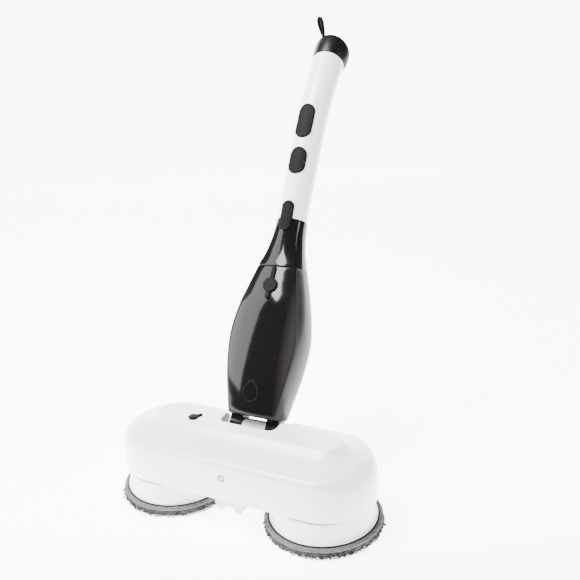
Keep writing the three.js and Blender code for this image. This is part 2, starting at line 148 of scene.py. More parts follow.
def material(name, colour, rough, grain=80.0, bump=0.02, metal=0.0, coat=0.0, shade=0.06, level=0.5):
    """Plastic, rubber or metal with noise in its roughness and a fine bump.

    colour is a mottled colour, or a function that makes the colour from where on the part it is.
    """
    made = bpy.data.materials.new(name)
    made.use_nodes = True
    nodes, links = made.node_tree.nodes, made.node_tree.links
    shader = nodes["Principled BSDF"]
    where = nodes.new("ShaderNodeTexCoord")
    grainy = nodes.new("ShaderNodeTexNoise")
    grainy.inputs["Scale"].default_value = grain
    grainy.inputs["Detail"].default_value = 4
    links.new(where.outputs["Object"], grainy.inputs["Vector"])
    if callable(colour):
        tinted = colour(nodes, links, where)
    else:
        tinted = mottled(nodes, links, grainy, colour, shade)
    links.new(tinted, shader.inputs["Base Color"])
    spread = nodes.new("ShaderNodeMapRange")
    spread.inputs["To Min"].default_value = max(0.0, rough - ROUGH_SPREAD)
    spread.inputs["To Max"].default_value = rough + ROUGH_SPREAD
    links.new(grainy.outputs["Fac"], spread.inputs["Value"])
    links.new(spread.outputs["Result"], shader.inputs["Roughness"])
    fine = nodes.new("ShaderNodeTexNoise")
    fine.inputs["Scale"].default_value = grain * FINE_GRAIN
    links.new(where.outputs["Object"], fine.inputs["Vector"])
    relief = nodes.new("ShaderNodeBump")
    relief.inputs["Strength"].default_value = bump
    relief.inputs["Distance"].default_value = RELIEF_DEPTH
    links.new(fine.outputs["Fac"], relief.inputs["Height"])
    links.new(relief.outputs["Normal"], shader.inputs["Normal"])
    shader.inputs["Metallic"].default_value = metal
    shader.inputs["Specular IOR Level"].default_value = level
    shader.inputs["Coat Weight"].default_value = coat
    shader.inputs["Coat Roughness"].default_value = COAT_ROUGH
    return made


def across_body(start, end, first, last, mirrored):
    """Smoked plastic that goes from the first colour to the last between two places across the part.

    start and end are in metres from the middle. Where it is mirrored, both sides are alike.
    """
    def tinted(nodes, links, where):
        split = nodes.new("ShaderNodeSeparateXYZ")
        links.new(where.outputs["Object"], split.inputs["Vector"])
        place_across = split.outputs["X"]
        if mirrored:
            side = nodes.new("ShaderNodeMath")
            side.operation = "ABSOLUTE"
            links.new(place_across, side.inputs[0])
            place_across = side.outputs["Value"]
        reach = nodes.new("ShaderNodeMapRange")
        reach.inputs["From Min"].default_value = start
        reach.inputs["From Max"].default_value = end
        links.new(place_across, reach.inputs["Value"])
        shift = nodes.new("ShaderNodeValToRGB")
        shift.color_ramp.elements[0].color = (*first, 1)
        shift.color_ramp.elements[1].color = (*last, 1)
        links.new(reach.outputs["Result"], shift.inputs["Fac"])
        return shift.outputs["Color"]
    return tinted


# Painted light: the body's colour is lighter towards its thin sides, a painted stand-in for light showing
# through the smoked plastic, and its side panels are lighter on the left, a painted reflection of the light
# from the left.
SMOKE_PAINTED_SEE_THROUGH = across_body(0.030, 0.056, (0.0035, 0.0033, 0.0032), (0.032, 0.029, 0.027), True)
PANEL_PAINTED_REFLECTION = across_body(-0.045, 0.045, (0.05, 0.046, 0.043), (0.012, 0.012, 0.013), False)
WHITE = material("white_gloss", (0.86, 0.86, 0.875), 0.28, coat=0.25, bump=0.01, shade=0.01)
PANEL = material("smoked_panel_painted_reflection", PANEL_PAINTED_REFLECTION, 0.3, coat=0.05, bump=0.006, level=0.2)
SMOKE = material("smoked_gloss", SMOKE_PAINTED_SEE_THROUGH, 0.1, coat=0.05, bump=0.006, level=0.24)
BLACK = material("black_satin", (0.003, 0.003, 0.0033), 0.36, coat=0.02, bump=0.02, level=0.12)
RUBBER = material("black_rubber", (0.003, 0.003, 0.0033), 0.6, bump=0.1, level=0.08)
BUTTON = material("button_rubber", (0.004, 0.004, 0.0043), 0.6, bump=0.08, level=0.07)
GREY = material("grey_plastic", (0.62, 0.63, 0.64), 0.42, bump=0.05)
STEEL = material("bright_steel", (0.62, 0.63, 0.65), 0.26, metal=1.0, bump=0.03)
BOARD = material("board_green", (0.03, 0.16, 0.08), 0.45, bump=0.05)
CELL = material("cell_wrap", (0.05, 0.14, 0.36), 0.4, bump=0.03)
HOOK = material("hook_tape", (0.05, 0.05, 0.05), 0.9, grain=400, bump=0.5, shade=0.3)
CLOTH = material("pad_cloth", (0.06, 0.06, 0.062), 0.95, grain=260, bump=0.6, shade=0.5)
BAND = material("pad_band", (0.085, 0.085, 0.088), 0.9, grain=300, bump=0.5, shade=0.3)
STRANDS = material("pad_strands", (0.03, 0.03, 0.031), 0.95, grain=120, bump=0.4, shade=0.8)
CLOTH_SHEEN = 0.05
for cloth in (CLOTH, BAND, STRANDS):
    cloth.node_tree.nodes["Principled BSDF"].inputs["Sheen Weight"].default_value = CLOTH_SHEEN


# Mesh building ------------------------------------------------------------------------------------
def mesh_object(name, points, faces, look):
    mesh = bpy.data.meshes.new(name)
    mesh.from_pydata([tuple(p) for p in points], [], faces)
    mesh.materials.append(look)
    made = bpy.data.objects.new(name, mesh)
    bpy.context.scene.collection.objects.link(made)
    return made


def shade_smooth(obj):
    for face in obj.data.polygons:
        face.use_smooth = True


def quads(low, high, count):
    """Faces between two rings of count points, which start at low and at high."""
    return [(low + j, low + (j + 1) % count, high + (j + 1) % count, high + j) for j in range(count)]


def loft(name, rings, look, closed=False):
    """Skin over rings of equal count, with both ends capped or, when closed, joined up."""
    count = len(rings[0])
    points = [p for ring in rings for p in ring]
    faces = []
    steps = len(rings) if closed else len(rings) - 1
    for i in range(steps):
        faces.extend(quads(i * count, (i + 1) % len(rings) * count, count))
    if not closed:
        top = (len(rings) - 1) * count
        faces.append(tuple(range(count - 1, -1, -1)))
        faces.append(tuple(range(top, top + count)))
    return mesh_object(name, points, faces, look)


def bake_modifiers(obj):
    """Bakes an object's modifiers into its mesh."""
    graph = bpy.context.evaluated_depsgraph_get()
    baked = bpy.data.meshes.new_from_object(obj.evaluated_get(graph))
    obj.modifiers.clear()
    obj.data = baked


def carve(obj, *cutters):
    """Cuts each cutter out of the object, and removes the cutter."""
    for cutter in cutters:
        change = obj.modifiers.new("carve", "BOOLEAN")
        change.object = cutter
        change.operation = "DIFFERENCE"
        change.solver = "EXACT"
        bake_modifiers(obj)
        bpy.data.objects.remove(cutter)


WELD = 1e-6
BEVEL_SEGMENTS = 3


def soften(obj, width=0.0006, angle=35):
    """Smooth shading, with edges sharper than angle degrees rounded over by width metres."""
    bm = bmesh.new()
    bm.from_mesh(obj.data)
    bmesh.ops.remove_doubles(bm, verts=bm.verts, dist=WELD)
    bmesh.ops.recalc_face_normals(bm, faces=bm.faces)
    for face in bm.faces:
        face.smooth = True
    bm.to_mesh(obj.data)
    bm.free()
    bevel = obj.modifiers.new("edge", "BEVEL")
    bevel.width = width
    bevel.segments = BEVEL_SEGMENTS
    bevel.limit_method = "ANGLE"
    bevel.angle_limit = math.radians(angle)
    weighted = obj.modifiers.new("normals", "WEIGHTED_NORMAL")
    weighted.keep_sharp = True


def finish_piece(obj, body, slot, *nodes):
    """Rides the piece on its body, and lets it stand in for the CAD nodes named."""
    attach(obj, body)
    if nodes:
        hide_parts(*nodes)


def prism(name, outline, low, high, frame_of, look):
    """Outline of (u, v) points raised from low to high; frame_of turns (u, v, w) into a point."""
    rings = [[frame_of(u, v, w) for u, v in outline] for w in (low, high)]
    return loft(name, rings, look)


def stadium(length, width, segments=20):
    """Outline with round ends, long in v."""
    r, reach = width / 2, length / 2 - width / 2
    outline = []
    for side, start in ((1, 0), (-1, 1)):
        for i in range(segments + 1):
            a = math.pi * (start + i / segments)
            outline.append((r * math.cos(a), side * reach + r * math.sin(a)))
    return outline


def circle(r, segments=48):
    return [(r * math.cos(2 * math.pi * i / segments), r * math.sin(2 * math.pi * i / segments))
            for i in range(segments)]


def domed(name, outline_at, heights, frame_of, look):
    """A rounded pad: outline_at(shrink) gives the outline, heights lists (shrink, level)."""
    rings = [[frame_of(u, v, level) for u, v in outline_at(shrink)] for shrink, level in heights]
    return loft(name, rings, look)


# Head ---------------------------------------------------------------------------------------------
END_STEPS, SIDE_STEPS, POCKET_STEPS = 40, 12, 12
WALL, POCKET_WALL, BELOW_EDGE = 2.5, 3, 40
# Hinge pocket: half width, front edge, corner radius, floor, cutter's top, and the flare at its back.
POCKET_X, POCKET_FRONT, POCKET_R, POCKET_FLOOR, POCKET_TOP = 41.0, 5, 9, 66.0, 130
FLARE_Y, FLARE_OUT, BACK_Y = 44, 10, 72
PORT_R, PIN_R, PIN_HALF = 5, 3.8, 46


def stadium_ring(z, reach, depth, centre, end):
    """Level outline with elliptical ends. Its long sides are divided so that they shade evenly."""
    ring = []
    for side, start in ((1, -0.5), (-1, 0.5)):
        for i in range(END_STEPS + 1):
            a = math.pi * (start + i / END_STEPS)
            ring.append(place(side * reach + end * math.cos(a), centre + depth * math.sin(a), z))
        for i in range(1, SIDE_STEPS):
            x = side * reach * (1 - 2 * i / SIDE_STEPS)
            ring.append(place(x, centre + side * depth, z))
    return ring


def pocket_plan(grow):
    """Plan of the hinge pocket: rounded towards the front, flared and open towards the back."""
    x, front, r = POCKET_X + grow, POCKET_FRONT - grow, POCKET_R + grow
    plan = []
    for side, start in ((-1, 1), (1, 1.5)):
        for i in range(POCKET_STEPS + 1):
            a = math.pi * (start + i / (2 * POCKET_STEPS))
            plan.append((side * (x - r) + r * math.cos(a), front + r + r * math.sin(a)))
    return plan + [(x, FLARE_Y), (x + FLARE_OUT, BACK_Y), (-x - FLARE_OUT, BACK_Y), (-x, FLARE_Y)]


def square(half):
    """Square around the nozzle's middle, as seen from the front."""
    corners = ((-1, -1), (1, -1), (1, 1), (-1, 1))
    return [(NOZZLE_X + half * u, NOZZLE_Z + half * v) for u, v in corners]


def inner_row(z, reach, depth, centre, end):
    return z - WALL, reach, depth - WALL, centre, end - WALL


housing = loft("housing_shell", [stadium_ring(*row) for row in HOUSING], WHITE)
inner_rows = [inner_row(*row) for row in HOUSING]
inner_rows[0] = (BELOW_EDGE, *inner_rows[0][1:])
inner = loft("inner", [stadium_ring(*row) for row in inner_rows], WHITE)
carve(inner, prism("wall", pocket_plan(POCKET_WALL), POCKET_FLOOR - POCKET_WALL, POCKET_TOP,
                   place, WHITE))
carve(
    housing,
    inner,
    prism("pocket", pocket_plan(0), POCKET_FLOOR, POCKET_TOP, place, WHITE),
    prism("port", circle(PORT_R, 32), 105, 120, lambda u, v, w: place(CHARGE_X + u, CHARGE_Y + v, w), WHITE),
    prism("jet", square(NOZZLE_HALF + NOZZLE_GAP), 60, 70, lambda u, v, w: place(u, -w, v), WHITE),
    prism("pin", circle(PIN_R, 32), -PIN_HALF, PIN_HALF,
          lambda u, v, w: place(w, HINGE_Y + u, HINGE_Z + v), WHITE),
)
soften(housing, 0.0012, 30)
finish_piece(housing, "head", "white_shell", "head_housing")

# Spray nozzle: a square block with a chamfered frame and a small jet. Rows are (shrink, y).
BLOCK_ROWS = ((0, -58), (0, -63.6), (0.6, -64.2), (1.6, -64.2), (1.9, -63.2))
TIP_ROWS = ((0, -63), (0, -65), (0.5, -65.4), (1.6, -65.4), (1.8, -64.8))
jet = domed("nozzle_block", lambda k: square(NOZZLE_HALF - k), BLOCK_ROWS,
            lambda u, v, w: place(u, w, v), GREY)
soften(jet, 0.0002)
finish_piece(jet, "head", "grey_plastic", "spray_nozzle")
tip = domed("nozzle_tip", lambda k: circle(2.6 - k, 24), TIP_ROWS,
            lambda u, v, w: place(NOZZLE_X + u, w, NOZZLE_Z + v), GREY)
soften(tip, 0.0001)
finish_piece(tip, "head", "grey_plastic")

# Charging cover: round rubber cap with a strap towards the middle of the head. Rows are (shrink, level).
COVER_ROWS = ((0.3, 0.3), (0, 0.8), (0, 2.2), (0.5, 3), (2, 3.3))
COVER_STRAP_ROWS = ((0.2, 0.3), (0, 0.6), (0, 2), (0.6, 2.5))
STRAP_RUN = math.atan2(10.5, 7.5)


def on_plateau(u, v, w):
    """u runs along the strap from the cap's centre, v across it, w is the height over the plateau."""
    x = CHARGE_X + u * math.cos(STRAP_RUN) - v * math.sin(STRAP_RUN)
    y = CHARGE_Y + u * math.sin(STRAP_RUN) + v * math.cos(STRAP_RUN)
    return place(x, y, PLATEAU_Z + w)


cover = domed("charge_cap", lambda k: circle(6.6 - k), COVER_ROWS, on_plateau, RUBBER)
soften(cover, 0.0002)
finish_piece(cover, "charge_cover", "black_rubber", "charge_cover")
strap = domed("charge_strap", lambda k: [(v + 7.2, u) for u, v in stadium(12.6 - 2 * k, 5.2 - 2 * k, 10)],
              COVER_STRAP_ROWS, on_plateau, RUBBER)
soften(strap, 0.0002)
finish_piece(strap, "charge_cover", "black_rubber")


# Drums and pads -----------------------------------------------------------------------------------
# Profiles are (radius, height), turned around the disc's axle.
DRUM = [
    (70, 13.9), (70.2, 14.6), (70, 16.2), (69.2, 17), (68.2, 17.8), (67.2, 26), (66.2, 36), (65.8, 40),
    (65.4, 41.4), (64.4, 42), (5.3, 42), (5.3, 16.3), (9, 16.3), (9, 39.4), (62.6, 39.4), (65.6, 17.4),
    (66.8, 13.9),
]
PAD = [
    (2, 0.4), (40, 0.2), (70, 0), (74, 1.2), (75.8, 3.4), (76.4, 6.4), (75.8, 9.6), (74.2, 12.2),
    (71.5, 13.4), (2, 13.5),
]
PAD_BAND = [
    (75.1, 9.2), (76.5, 9.6), (77, 10.6), (76.6, 12.0), (75, 13.1), (72.6, 13.5), (71, 13.1), (73, 11),
]
PIPING = [(70.6, 13.3), (71.4, 13.1), (72.1, 13.5), (71.9, 14.1), (70.9, 14.3), (70.4, 13.9)]
RIPPLE_FROM, RIPPLE_OUT, RIPPLE_ROUND, RIPPLE_UP = 60, 0.7, 9, 0.35

# Rows of yarn from the top down: number of loops, height and reach.
YARN_ROWS = ((150, 8.6, 1.0), (170, 5.6, 1.6), (170, 2.8, 1.9))
YARN_R, LOWEST_ROW_IN, YARN_LOWEST = 75.4, 0.8, 0.9
LONG_LOOP, LONG_SHARE = 1.75, 0.12
LOOP_STEPS, STRAND_SIDES = 8, 5
FRINGE_SEED = 7


def turned(name, profile, centre_x, look, segments=128, wobble=None):
    """Profile turned around an upright axis; wobble(angle, radius, height) adds to the radius."""
    rings = []
    for r, z in profile:
        ring = []
        for i in range(segments):
            a = 2 * math.pi * i / segments
            out = r + (wobble(a, r, z) if wobble else 0)
            ring.append(place(centre_x + out * math.cos(a), out * math.sin(a), z))
        rings.append(ring)
    return loft(name, rings, look, closed=True)


def rippled(phase):
    """Wobble of the pad's soft rim, different for each phase."""
    def wobble(a, r, z):
        if r < RIPPLE_FROM:
            return 0
        spot = Vector((math.cos(a) * RIPPLE_ROUND + phase, math.sin(a) * RIPPLE_ROUND, z * RIPPLE_UP))
        return RIPPLE_OUT * noise.noise(spot)
    return wobble


def ring_around(middle, first, second, radius, sides):
    return [middle + (first * math.cos(a) + second * math.sin(a)) * radius
            for a in (2 * math.pi * k / sides for k in range(sides))]


def strand(points, radius):
    """Rings of a thin tube along points."""
    rings = []
    for i, p in enumerate(points):
        ahead = points[min(i + 1, len(points) - 1)] - points[max(i - 1, 0)]
        along = ahead.normalized()
        side = along.cross(Vector((0, 0, 1)) if abs(along.z) < 0.9 else Vector((1, 0, 0))).normalized()
        rings.append(ring_around(p, side, side.cross(along), radius, STRAND_SIDES))
    return rings


def fringe(name, centre_x, seed):
    """Loops of yarn around the lower edge of a pad, in several rows with different lengths."""
    dice = random.Random(seed)
    points, faces = [], []
    for row, (count, level, out) in enumerate(YARN_ROWS):
        base_r = YARN_R - (LOWEST_ROW_IN if row == len(YARN_ROWS) - 1 else 0)
        for i in range(count):
            middle = 2 * math.pi * (i + dice.uniform(-0.4, 0.4)) / count
            reach = out * dice.uniform(0.4, 1.3) * (LONG_LOOP if dice.random() < LONG_SHARE else 1)
            half_width = dice.uniform(1.4, 2.4) / 76
            drop = dice.uniform(0.6, 2.4)
            path = []
            for k in range(LOOP_STEPS + 1):
                f = k / LOOP_STEPS
                bulge = math.sin(math.pi * f)
                r = base_r + reach * 1.5 * bulge
                z = max(YARN_LOWEST, level - drop * bulge + dice.uniform(-0.15, 0.15))
                a = middle + half_width * (f - 0.5) * 2
                path.append(place(centre_x + r * math.cos(a), r * math.sin(a), z))
            start = len(points)
            rings = strand(path, dice.uniform(0.55, 0.85) * MM)
            points.extend(p for ring in rings for p in ring)
            for low in range(start, len(points) - STRAND_SIDES, STRAND_SIDES):
                faces.extend(quads(low, low + STRAND_SIDES, STRAND_SIDES))
    made = mesh_object(name, points, faces, STRANDS)
    shade_smooth(made)
    return made


for side, sign in (("left", -1), ("right", 1)):
    x = sign * DISC_X
    body = side + "_disc"
    drum = turned(side + "_drum_shell", DRUM, x, WHITE)
    soften(drum, 0.0003, 40)
    finish_piece(drum, body, "white_shell", side + "_drum")
    pad = turned(side + "_pad_cloth", PAD, x, CLOTH, 256, rippled(sign))
    soften(pad, 0.0002)
    finish_piece(pad, body, "pad_cloth", side + "_pad")
    band = turned(side + "_pad_band", PAD_BAND, x, BAND, 192, rippled(sign))
    soften(band, 0.0002)
    finish_piece(band, body, "pad_cloth")
    yarn = fringe(side + "_pad_fringe", x, FRINGE_SEED + sign)
    finish_piece(yarn, body, "pad_cloth")
    piping = turned(side + "_pad_piping", PIPING, x, RUBBER)
    soften(piping, 0.0001)
    finish_piece(piping, body, "pad_cloth")


# Tilting body -------------------------------------------------------------------------------------
# The crease at each side of the front moves inwards over CREASE_FADE, as the body turns into the neck.
CREASE_FADE = (225, 285)
BACK_POWER = 2 / 2.3
BACK_STEPS = 32
PART_LINE = 3.0
PANEL_FACING = 0.55


def bezier(p0, p1, p2, f):
    return tuple((1 - f) ** 2 * a + 2 * f * (1 - f) * b + f * f * c for a, b, c in zip(p0, p1, p2))


def front_curve(s, grow=0.0):
    """Front half of the section, from the right side round to the left, with a crease each side."""
    a, b, centre = hermite(BODY, s)
    a, b = a + grow, b + grow
    start, end = CREASE_FADE
    blend = min(1.0, max(0.0, (s - start) / (end - start)))
    crease_x = a * (0.86 - 0.15 * blend)
    crease_t = b * (0.80 - 0.10 * blend)
    half = [bezier((a, 0), (a, -0.6 * crease_t), (crease_x, -crease_t), i / 10) for i in range(10)]
    half += [bezier((crease_x, -crease_t), (0.48 * crease_x, -b), (0, -b), i / 14) for i in range(15)]
    return [(x, centre + t) for x, t in half] + [(-x, centre + t) for x, t in reversed(half[:-1])]


def back_curve(s, grow=0.0):
    """Back half of the section, from the left side round to the right."""
    a, b, centre = hermite(BODY, s)
    curve = []
    for i in range(1, BACK_STEPS):
        angle = math.pi * (1 - i / BACK_STEPS)
        x = (a + grow) * math.copysign(abs(math.cos(angle)) ** BACK_POWER, math.cos(angle))
        curve.append((x, centre + (b + grow) * abs(math.sin(angle)) ** BACK_POWER))
    return curve


def levels(low, high, step=4.0):
    count = max(2, round((high - low) / step))
    return [low + (high - low) * i / count for i in range(count + 1)]


def shell_levels(low, high):
    """Levels with their shrink, so that both ends of a shell are rounded over."""
    rows = [(low, -1.4), (low + 0.35, -0.6), (low + 1.0, -0.15)]
    rows += [(s, 0.0) for s in levels(low + 2, high - 0.8)]
    rows += [(high - 0.3, -0.12), (high, -0.45)]
    return rows


def front_ring(s, grow):
    edge = PART_LINE - JOINT_GAP
    front = [(x, min(t, edge)) for x, t in front_curve(s, grow)]
    ring = [(front[0][0], edge)] + front + [(front[-1][0], edge)]
    return [leaning(x, t, s) for x, t in ring]


def back_ring(s, grow):
    edge = PART_LINE + JOINT_GAP
    back = [(x, max(t, edge)) for x, t in back_curve(s, grow)]
    a = hermite(BODY, s)[0] + grow
    return [leaning(x, t, s) for x, t in [(-a, edge)] + back + [(a, edge)]]


def whole_ring(s, grow):
    return [leaning(x, t, s) for x, t in front_curve(s, grow) + back_curve(s, grow)]


shell_rows = shell_levels(BODY[0][0], SEAM_S - JOINT_GAP)
tank = loft("tank_shell", [front_ring(s, g) for s, g in shell_rows], SMOKE)
soften(tank, 0.0005, 45)
# The side panels get the panel material, whose colour is a painted reflection: lighter on the left side,
# darker on the right.
tank.data.materials.append(PANEL)
for face in tank.data.polygons:
    if abs(face.normal.x) > PANEL_FACING:
        face.material_index = 1
finish_piece(tank, "lower_body", "smoked_shell", "water_tank")
rear = loft("rear_body_shell", [back_ring(s, g) for s, g in shell_rows], SMOKE)
soften(rear, 0.0005, 45)
finish_piece(rear, "lower_body", "smoked_shell", "rear_shell")

NOTCH_LENGTH, NOTCH_WIDTH = 44, 18.2
neck = loft("neck_shell", [whole_ring(s, g) for s, g in shell_levels(SEAM_S + JOINT_GAP, NECK_TOP)], SMOKE)
carve(
    neck,
    prism("socket", circle(18.2, 64), 210, 300, leaning, SMOKE),
    prism("notch", stadium(NOTCH_LENGTH, NOTCH_WIDTH), 8, 50,
          lambda u, v, w: leaning(u, -w, LATCH_S + v), SMOKE),
)
soften(neck, 0.0006, 40)
finish_piece(neck, "lower_body", "smoked_shell", "neck_collar")

# Drop outline raised on the tank's front: its middle, half sizes and the radius of its line.
DROP_X, DROP_S, DROP_HALF_WIDTH, DROP_HALF_HEIGHT = -1, 47, 10.5, 14
DROP_LINE, DROP_SUNK = 0.42, 0.25
DROP_STEPS, DROP_SIDES = 40, 6


def tank_front(s):
    _, b, centre = hermite(BODY, s)
    return centre - b


drop_path = []
for i in range(DROP_STEPS):
    a = 2 * math.pi * i / DROP_STEPS
    taper = 1 - 0.42 * max(0.0, math.cos(a)) ** 1.5
    u = DROP_HALF_WIDTH * math.sin(a) * taper
    s = DROP_S + DROP_HALF_HEIGHT * math.cos(a)
    drop_path.append(leaning(u + DROP_X, tank_front(s) + DROP_SUNK + (u / 56) ** 2 * 3.2, s))
outwards = (leaning(0, -1, 0) - leaning(0, 0, 0)).normalized()
rings = []
for i, p in enumerate(drop_path):
    along = (drop_path[(i + 1) % DROP_STEPS] - drop_path[i - 1]).normalized()
    rings.append(ring_around(p, outwards, along.cross(outwards).normalized(), DROP_LINE * MM, DROP_SIDES))
drop = loft("drop_outline", rings, SMOKE, closed=True)
soften(drop, 0.00005, 80)
finish_piece(drop, "lower_body", "smoked_shell")

# Filler plug on the tank's sloping front, with a pull tab below it and a strap above.
# Rows are (shrink, level).
PLUG_SLOPE, PLUG_T = 0.172, -32.2
PLUG_ROWS = ((0.4, 0.4), (0, 0.8), (0, 2.4), (0.5, 3.1), (1.4, 3.4), (1.9, 3.1), (9, 3.2))
TAB_ROWS = ((0.3, 0.4), (0, 0.8), (0, 2.2), (0.6, 2.9), (1.6, 3.0))
PLUG_STRAP_ROWS = ((0.3, 0.4), (0, 0.8), (0, 2.0), (0.6, 2.6), (1.4, 2.7))


def on_tank(u, v, w):
    """u across, v up along the tank's face, w outwards from it."""
    t = -w * math.cos(PLUG_SLOPE) + v * math.sin(PLUG_SLOPE) + PLUG_T
    s = w * math.sin(PLUG_SLOPE) + v * math.cos(PLUG_SLOPE) + PLUG_S
    return leaning(u, t, s)


def plug_piece(name, outline_at, rows, *nodes):
    made = domed(name, outline_at, rows, on_tank, RUBBER)
    soften(made, 0.0002, 50)
    finish_piece(made, "filler_plug", "black_rubber", *nodes)


plug_piece("plug_cap", lambda k: circle(10.4 - k, 64), PLUG_ROWS, "filler_plug")
plug_piece("plug_tab", lambda k: [(u, v - 11.6) for u, v in stadium(17.5 - 2 * k, 6.6 - 2 * k)],
           TAB_ROWS)
plug_piece("plug_strap", lambda k: [(u, v + 15.4) for u, v in stadium(24 - 2 * k, 6 - 2 * k)],
           PLUG_STRAP_ROWS)


# Handle tube --------------------------------------------------------------------------------------
# The tube leans back by SLOPE above UPRIGHT, and bends further back above STRAIGHT.
UPRIGHT, STRAIGHT, SLOPE, BEND = 300.0, 405.0, 0.038, 900
TUBE_R, TUBE_FLARE = 21.2, 1.8


def tube_centre(s):
    """How far back the tube's middle is at s, and its slope there."""
    if s < UPRIGHT:
        return 0.0, 0.0
    if s < STRAIGHT:
        return SLOPE * (s - UPRIGHT), SLOPE
    u = s - STRAIGHT
    return SLOPE * (STRAIGHT - UPRIGHT) + SLOPE * u + u * u / BEND, SLOPE + 2 * u / BEND


def tube_radius(s):
    return TUBE_R + TUBE_FLARE * max(0.0, (s - NECK_TOP) / (TUBE_END - NECK_TOP))


def tube_ring(s, radius, tilt=0.0, segments=72):
    centre, slope = tube_centre(s)
    angle = math.atan(slope) + tilt
    ring = []
    for i in range(segments):
        a = 2 * math.pi * i / segments
        t = radius * math.sin(a)
        ring.append(leaning(radius * math.cos(a), centre + t * math.cos(angle), s - t * math.sin(angle)))
    return ring


def on_tube(base):
    """Frame at the tube's front at base: u across, v up along the tube, w outwards."""
    centre, slope = tube_centre(base)
    angle = math.atan(slope)
    r = tube_radius(base)

    def point(u, v, w):
        out = r + w
        t = centre - out * math.cos(angle) + v * math.sin(angle)
        s = base + out * math.sin(angle) + v * math.cos(angle)
        return leaning(u, t, s)
    return point


def seat(length, width, deep, base):
    """Cutter for the recess of a button or latch."""
    return prism("seat", stadium(length, width, 28), -deep, 20, on_tube(base), WHITE)


tube_rows = [(NECK_TOP + 0.3, -0.5), (NECK_TOP + 0.8, 0)]
tube_rows += [(s, 0) for s in levels(NECK_TOP + 2, TUBE_END - 1, 5)] + [(TUBE_END, 0)]
tube = loft("tube_shell", [tube_ring(s, tube_radius(s) + g) for s, g in tube_rows], WHITE)
carve(
    tube,
    seat(52, 25, 4, POWER_S),
    seat(40, 26, 4, SPRAY_S),
    seat(NOTCH_LENGTH, NOTCH_WIDTH, 5, LATCH_S),
)
soften(tube, 0.0006, 40)
finish_piece(tube, "handle", "white_shell", "handle_tube")
spigot = prism("spigot_tube", circle(17.5, 64), 245, NECK_TOP + 0.2, leaning, WHITE)
soften(spigot)
finish_piece(spigot, "handle", "white_shell")

ROUND_SHARE = 0.85


def button(name, length, width, base, rise, node, dip):
    """Rubber pad that follows the tube's roundness, with a raised rim around a slightly lower middle."""
    point = on_tube(base)
    r = tube_radius(base)

    def curved(u, v, w):
        fall = r - math.sqrt(max(0.0, r * r - u * u))
        return point(u, v, w - fall * ROUND_SHARE)

    rows = ((0, -3.8), (0, rise - 0.9), (0.4, rise - 0.3), (1.1, rise), (2.0, rise - 0.1), (2.8, rise - dip),
            (5, rise - dip + 0.05), (width * 0.36, rise - dip + 0.2))
    made = domed(name, lambda k: stadium(length - 2 * k, width - 2 * k, 24), rows, curved, BUTTON)
    soften(made, 0.0001, 60)
    finish_piece(made, node, "black_rubber", node)


button("power_pad", 51.2, 24.2, POWER_S, 1.9, "power_button", 0.5)
button("spray_pad", 39.2, 25.2, SPRAY_S, 1.9, "spray_button", 0.5)
button("latch_pad", 42.6, 17, LATCH_S, 3.2, "release_latch", 0.3)

# Slanted cap with a flared lip: height over the tube's end, radius, tilt.
CAP_TILT = 0.3
CAP = [
    (0.3, 22.6, 0), (0.3, 23.4, 0), (1.2, 24.2, 0.02), (4, 25.2, 0.1), (8, 26.1, 0.17), (12, 26.7, 0.22),
    (16, 27, 0.26), (19.5, 27.1, 0.29), (21.6, 26.6, CAP_TILT), (22.8, 25.4, CAP_TILT),
    (23.2, 23.4, CAP_TILT), (22.6, 21.5, CAP_TILT), (22, 12, CAP_TILT),
]
cap = loft("cap_shell", [tube_ring(TUBE_END + up, r, tilt) for up, r, tilt in CAP], BLACK)
soften(cap, 0.0003, 50)
finish_piece(cap, "handle", "black_plastic", "end_cap")

# Hanging loop at the cap's front left: a flat-sided rubber band, narrow at its root and wide at its top.
RIM_POINTS, RIM_AT = 36, 24
LOOP_R, LOOP_HALF_WIDTH = 12.2, 4.3
BAND_THICK, BAND_WIDE = 2.1, 3.2
LOOP_TURN = Matrix.Rotation(-0.3, 3, "Z") @ Matrix.Rotation(-0.26, 3, "Y")
LOOP_POINTS, BAND_POINTS, STUB_POINTS = 64, 16, 24
# Stub under the loop: radius, height.
STUB = ((2.6, -4.5), (2.7, -1.5), (2.5, 0.6), (2.0, 2.2))
foot = tube_ring(TUBE_END + 23, 24, CAP_TILT, RIM_POINTS)[RIM_AT] + Vector((0, 1.0, 4.6)) * MM


def loop_line(angle):
    high = LOOP_R - LOOP_R * math.cos(angle)
    return Vector((LOOP_HALF_WIDTH * math.sin(angle) * (0.4 + high / 40), 0, high))


def loop_ring(angle):
    """Oval section of the band."""
    along = (loop_line(angle + 0.05) - loop_line(angle - 0.05)).normalized()
    across = along.cross(Vector((0, 1, 0)))
    ring = []
    for k in range(BAND_POINTS):
        b = 2 * math.pi * k / BAND_POINTS
        offset = across * BAND_THICK * math.cos(b) + Vector((0, BAND_WIDE * math.sin(b), 0))
        ring.append(foot + LOOP_TURN @ (loop_line(angle) + offset) * MM)
    return ring


def stub_ring(r, high):
    """Level ring; below the foot the stub sits a little further back."""
    back = 0.6 if high < 0 else 0
    angles = [2 * math.pi * k / STUB_POINTS for k in range(STUB_POINTS)]
    return [foot + Vector((r * math.cos(b), r * math.sin(b) + back, high)) * MM for b in angles]


loop_rings = [loop_ring(2 * math.pi * i / LOOP_POINTS) for i in range(LOOP_POINTS)]
loop = loft("loop_band", loop_rings, RUBBER, closed=True)
soften(loop, 0.0001, 70)
finish_piece(loop, "handle", "black_rubber", "hanging_loop")
root = loft("loop_root", [stub_ring(*row) for row in STUB], RUBBER)
soften(root, 0.0004, 50)
finish_piece(root, "handle", "black_rubber")


# Knuckles, blocks and the hidden works keep their CAD shape and get a material ----------------------
def both(*names):
    return [f"{side}_{name}" for name in names for side in ("left", "right")]


